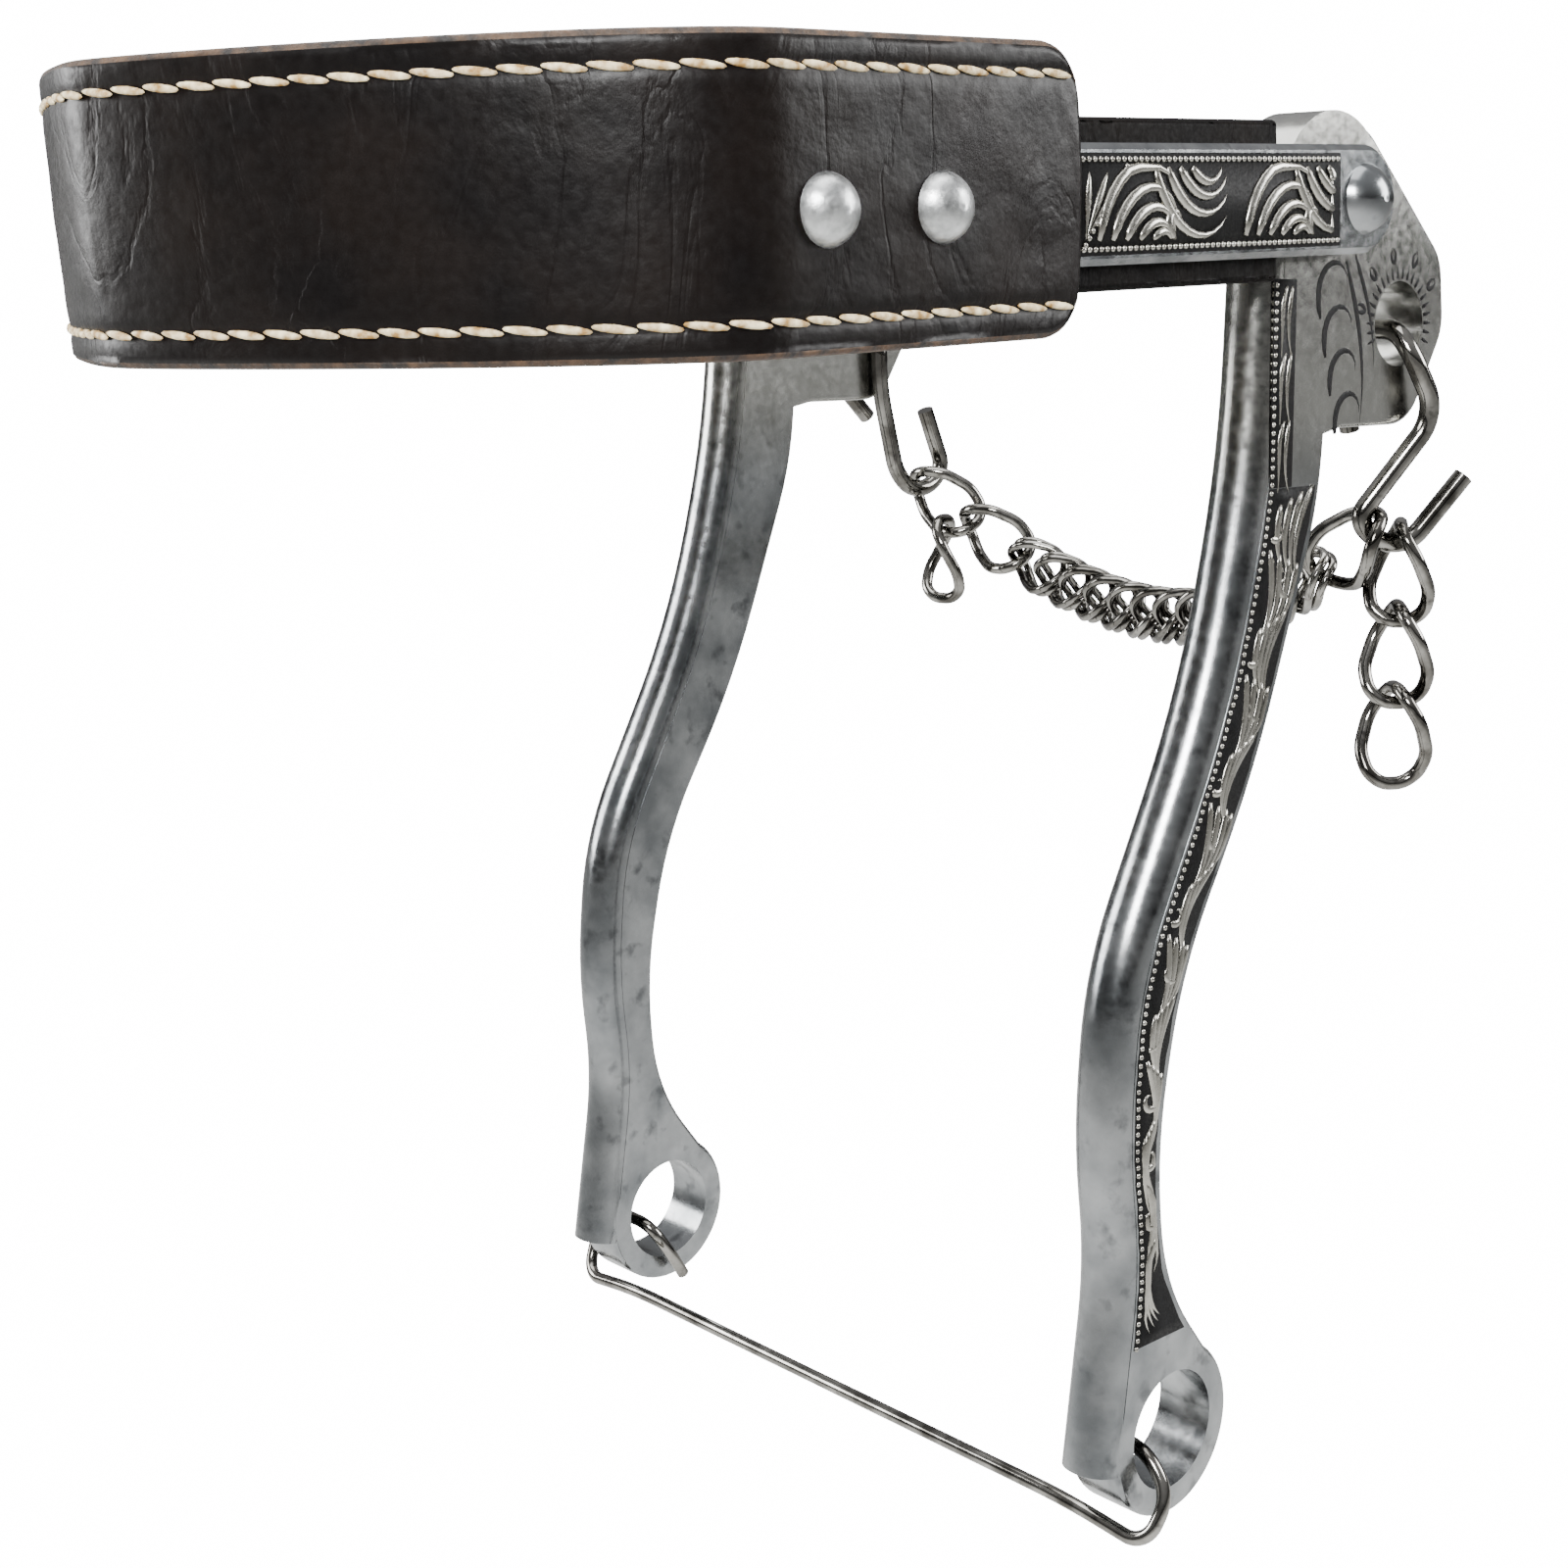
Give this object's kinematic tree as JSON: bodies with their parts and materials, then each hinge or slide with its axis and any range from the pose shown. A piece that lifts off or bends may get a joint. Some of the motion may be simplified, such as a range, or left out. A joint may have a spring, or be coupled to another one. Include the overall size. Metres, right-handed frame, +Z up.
{
  "type": "mechanical hackamore",
  "caption": "Bitless bridle noseband of stitched leather on two engraved arms, with swinging curb shanks, curb chain and spreader wire.",
  "frame": {"origin": "middle of the axis on which both shanks swing, halfway between the shanks", "axes": "+X towards the horse's left, -Y towards the nose, +Z up, as worn with the shanks hanging"},
  "size_m": [0.168, 0.2328, 0.2375],
  "materials": {
    "leather": "near-black brown bridle leather, soft sheen",
    "lining_leather": "dark brown lining leather, matt",
    "cast_steel": "cast, darkened in the recesses and bright on the edges",
    "rivet_steel": "dull silver domed heads",
    "bright_wire": "plated round wire",
    "chain_steel": "nickel plated wire links"
  },
  "bodies": {
    "noseband": {"noseband_leather": "leather", "noseband_core": "lining_leather", "noseband_lining": "lining_leather", "noseband_rivets": "rivet_steel", "noseband_burrs": "rivet_steel", "nose_arm_left": "cast_steel", "nose_arm_right": "cast_steel", "pivot_rivets": "rivet_steel"},
    "shank_left": {"shank_left": "cast_steel"},
    "shank_right": {"shank_right": "cast_steel"},
    "hook_left": {"curb_hook_left": "bright_wire"},
    "hook_right": {"curb_hook_right": "bright_wire"},
    "chain": {"chain_ring_right_outer": "chain_steel", "chain_ring_right_inner": "chain_steel", "chain_pair_01": "chain_steel", "chain_pair_02": "chain_steel", "chain_pair_03": "chain_steel", "chain_pair_04": "chain_steel", "chain_pair_05": "chain_steel", "chain_pair_06": "chain_steel", "chain_pair_07": "chain_steel", "chain_pair_08": "chain_steel", "chain_pair_09": "chain_steel", "chain_pair_10": "chain_steel", "chain_pair_11": "chain_steel", "chain_pair_12": "chain_steel", "chain_ring_left": "chain_steel"},
    "tail_left_upper": {"tail_ring_left_upper": "chain_steel"},
    "tail_left_middle": {"tail_ring_left_middle": "chain_steel"},
    "tail_left_lower": {"tail_ring_left_lower": "chain_steel"},
    "tail_right": {"tail_ring_right": "chain_steel"},
    "spreader": {"spreader_wire": "bright_wire"}
  },
  "joints": [
    {"name": "shank_left_swing", "type": "hinge", "parent": "noseband", "child": "shank_left", "pos_m": [0.065, 0, 0], "axis": [1, 0, 0], "range_deg": [-40, 70]},
    {"name": "shank_right_swing", "type": "hinge", "parent": "noseband", "child": "shank_right", "pos_m": [-0.065, 0, 0], "axis": [1, 0, 0], "range_deg": [-40, 70]},
    {"name": "hook_left_swing", "type": "hinge", "parent": "shank_left", "child": "hook_left", "pos_m": [0.065, 0.0215, -0.0277], "axis": [1, 0, 0], "range_deg": [-8, 20]},
    {"name": "hook_right_swing", "type": "hinge", "parent": "shank_right", "child": "hook_right", "pos_m": [-0.065, 0.0215, -0.0277], "axis": [1, 0, 0], "range_deg": [-8, 20]},
    {"name": "chain_swing", "type": "hinge", "parent": "hook_left", "child": "chain", "pos_m": [0.0695, 0.022, -0.05118], "axis": [0.9955, -0.0947, -0.0094], "range_deg": [-1.5, 1.5]},
    {"name": "tail_left_upper_swing", "type": "hinge", "parent": "hook_left", "child": "tail_left_upper", "pos_m": [0.07008, 0.02301, -0.05839], "axis": [0.5, 0.866, 0], "range_deg": [-2, 2]},
    {"name": "tail_left_middle_swing", "type": "hinge", "parent": "tail_left_upper", "child": "tail_left_middle", "pos_m": [0.07008, 0.02301, -0.07234], "axis": [0.7593, 0.6508, 0], "range_deg": [-10, 10]},
    {"name": "tail_left_lower_swing", "type": "hinge", "parent": "tail_left_middle", "child": "tail_left_lower", "pos_m": [0.07008, 0.02301, -0.08684], "axis": [0.6347, 0.7727, 0], "range_deg": [-10, 10]},
    {"name": "tail_right_swing", "type": "hinge", "parent": "chain", "child": "tail_right", "pos_m": [-0.05189, 0.03578, -0.06641], "axis": [0.9934, -0.0088, -0.1143], "range_deg": [-8, 8]},
    {"name": "spreader_swing", "type": "hinge", "parent": "shank_left", "child": "spreader", "pos_m": [0.065, -0.0442, -0.211], "axis": [1, 0, 0], "range_deg": [-6, 6]}
  ],
  "couplings": [
    {"joint": "shank_right_swing", "follows": "shank_left_swing", "ratio": 1},
    {"joint": "hook_right_swing", "follows": "hook_left_swing", "ratio": 1}
  ]
}
